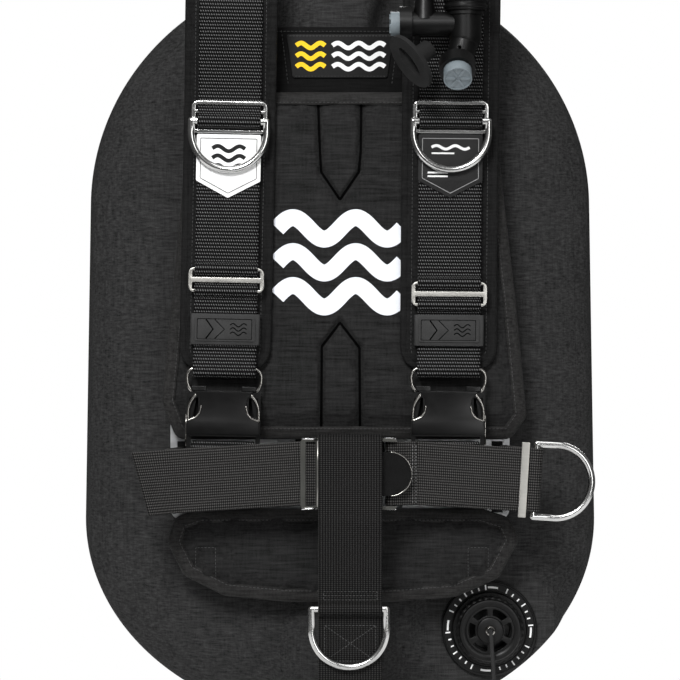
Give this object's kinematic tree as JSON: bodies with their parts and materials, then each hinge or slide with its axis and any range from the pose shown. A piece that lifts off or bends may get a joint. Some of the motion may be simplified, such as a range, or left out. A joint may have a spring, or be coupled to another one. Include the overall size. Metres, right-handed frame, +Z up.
{
  "type": "buoyancy compensator vest",
  "caption": "Back-mounted diving buoyancy compensator: ring-shaped air cell behind a steel backplate, webbing harness with pads, inflator, dump valve and tank bands.",
  "frame": {"origin": "midway between the backplate's two bolt holes, on the plate's back face", "axes": "+X to the wearer's left, +Y backwards towards the tank, +Z up along the vest"},
  "size_m": [0.414, 0.3274, 0.6962],
  "materials": {
    "wing_cloth": "black ripstop nylon",
    "bladder": "smooth welded sheet",
    "pad_cloth": "black padded nylon with bound edges",
    "label": "woven label with pale and yellow marks",
    "webbing": "ribbed nylon webbing",
    "steel": "polished stainless steel",
    "buckle_black": "black coated metal",
    "plastic_black": "satin moulded plastic",
    "rubber_dark": "matt moulded rubber",
    "button_grey": "satin moulded plastic",
    "patch_white": "moulded patch",
    "patch_grey": "moulded patch",
    "chrome": "polished"
  },
  "bodies": {
    "root": {"wing_shell_front": "wing_cloth", "wing_shell_back": "wing_cloth", "wing_center_panel": "wing_cloth", "bladder_front": "bladder", "bladder_back": "bladder", "back_pad": "pad_cloth", "lumbar_pad": "pad_cloth", "shoulder_pad_left": "pad_cloth", "shoulder_pad_right": "pad_cloth", "neck_panel": "pad_cloth", "neck_label": "label", "shoulder_webbing_left": "webbing", "shoulder_webbing_right": "webbing", "lower_webbing": "webbing", "waist_webbing_left": "webbing", "waist_webbing_right": "webbing", "crotch_strap": "webbing", "tank_bands": "webbing", "backplate": "steel", "wing_grommets": "steel", "shoulder_slider_left": "steel", "shoulder_slider_right": "steel", "triglide_left": "steel", "triglide_right": "steel", "waist_buckle_frame": "steel", "waist_ring_loop": "steel", "buckle_upper_left": "buckle_black", "buckle_upper_right": "buckle_black", "buckle_lower_left": "buckle_black", "buckle_lower_right": "buckle_black", "hose_elbow": "plastic_black", "hose_cuffs": "plastic_black", "inflator_body": "plastic_black", "dump_valve_base": "plastic_black", "dump_valve_cap": "plastic_black", "tank_buckles": "plastic_black", "corrugated_hose": "rubber_dark", "mouthpiece": "rubber_dark", "ring_patch_right": "patch_white", "ring_patch_left": "patch_grey", "inflator_nipple": "chrome", "dump_spring": "chrome"},
    "shoulder_ring_left": {"shoulder_ring_left": "steel"},
    "shoulder_ring_right": {"shoulder_ring_right": "steel"},
    "waist_ring": {"waist_ring": "steel"},
    "crotch_ring": {"crotch_ring": "steel"},
    "waist_lever": {"waist_buckle_lever": "buckle_black"},
    "tab_left_outer": {"buckle_tab_left_outer": "buckle_black"},
    "tab_left_inner": {"buckle_tab_left_inner": "buckle_black"},
    "tab_right_outer": {"buckle_tab_right_outer": "buckle_black"},
    "tab_right_inner": {"buckle_tab_right_inner": "buckle_black"},
    "inflate_button": {"inflate_button": "button_grey"},
    "deflate_button": {"deflate_button": "button_grey"},
    "dump_pull": {"dump_poppet": "rubber_dark", "pull_cord": "webbing", "pull_knob": "plastic_black"},
    "tank_lever_upper": {"tank_lever_upper": "plastic_black"},
    "tank_lever_lower": {"tank_lever_lower": "plastic_black"},
    "keeper_left": {"keeper_left": "rubber_dark"},
    "keeper_right": {"keeper_right": "rubber_dark"}
  },
  "joints": [
    {"name": "shoulder_ring_left_swing", "type": "hinge", "parent": "root", "child": "shoulder_ring_left", "pos_m": [0.0876, -0.0664, 0.17199], "axis": [-1, 0, 0.0087], "range_deg": [0, 95]},
    {"name": "shoulder_ring_right_swing", "type": "hinge", "parent": "root", "child": "shoulder_ring_right", "pos_m": [-0.08755, -0.0664, 0.17197], "axis": [-0.9998, 0, 0.0201], "range_deg": [0, 150]},
    {"name": "waist_ring_swing", "type": "hinge", "parent": "root", "child": "waist_ring", "pos_m": [0.15333, -0.076, -0.11109], "axis": [-0.061, 0, -0.9981], "range_deg": [-40, 90]},
    {"name": "crotch_ring_swing", "type": "hinge", "parent": "root", "child": "crotch_ring", "pos_m": [0.007, -0.0955, -0.211], "axis": [-1, 0, 0], "range_deg": [0, 120]},
    {"name": "waist_lever_open", "type": "hinge", "parent": "root", "child": "waist_lever", "pos_m": [-0.01, -0.0914, -0.1055], "axis": [0, 0, -1], "range_deg": [0, 8], "stiffness_Nm_per_rad": 0.2},
    {"name": "squeeze_left_outer", "type": "hinge", "parent": "root", "child": "tab_left_outer", "pos_m": [0.11011, -0.0586, -0.04521], "axis": [0, 1, 0], "range_deg": [0, 7], "stiffness_Nm_per_rad": 0.05},
    {"name": "squeeze_left_inner", "type": "hinge", "parent": "root", "child": "tab_left_inner", "pos_m": [0.06131, -0.0586, -0.04478], "axis": [0, 1, 0], "range_deg": [-7, 0], "stiffness_Nm_per_rad": 0.05},
    {"name": "squeeze_right_outer", "type": "hinge", "parent": "root", "child": "tab_right_outer", "pos_m": [-0.1163, -0.0586, -0.0445], "axis": [0, 1, 0], "range_deg": [-7, 0], "stiffness_Nm_per_rad": 0.05},
    {"name": "squeeze_right_inner", "type": "hinge", "parent": "root", "child": "tab_right_inner", "pos_m": [-0.06751, -0.0586, -0.04548], "axis": [0, 1, 0], "range_deg": [0, 7], "stiffness_Nm_per_rad": 0.05},
    {"name": "inflate_press", "type": "slide", "parent": "root", "child": "inflate_button", "axis": [1, 0, 0], "range_m": [0, 0.003], "stiffness_N_per_m": 400},
    {"name": "deflate_press", "type": "slide", "parent": "root", "child": "deflate_button", "axis": [0, 0.7071, 0.7071], "range_m": [0, 0.003], "stiffness_N_per_m": 400},
    {"name": "dump_valve_pull", "type": "slide", "parent": "root", "child": "dump_pull", "axis": [0, -1, 0], "range_m": [0, 0.005], "stiffness_N_per_m": 400},
    {"name": "tank_lever_upper_open", "type": "hinge", "parent": "root", "child": "tank_lever_upper", "pos_m": [0.06709, 0.17944, 0.075], "axis": [0, 0, -1], "range_deg": [0, 110]},
    {"name": "tank_lever_lower_open", "type": "hinge", "parent": "root", "child": "tank_lever_lower", "pos_m": [0.06709, 0.17944, -0.075], "axis": [0, 0, -1], "range_deg": [0, 110]},
    {"name": "keeper_left_slide", "type": "slide", "parent": "root", "child": "keeper_left", "axis": [0.0087, 0, 1], "range_m": [-0.005, 0.0025]},
    {"name": "keeper_right_slide", "type": "slide", "parent": "root", "child": "keeper_right", "axis": [0.0201, 0, 0.9998], "range_m": [-0.005, 0.012]}
  ],
  "couplings": [
    {"joint": "squeeze_left_inner", "follows": "squeeze_left_outer", "ratio": -1},
    {"joint": "squeeze_right_inner", "follows": "squeeze_right_outer", "ratio": -1}
  ]
}
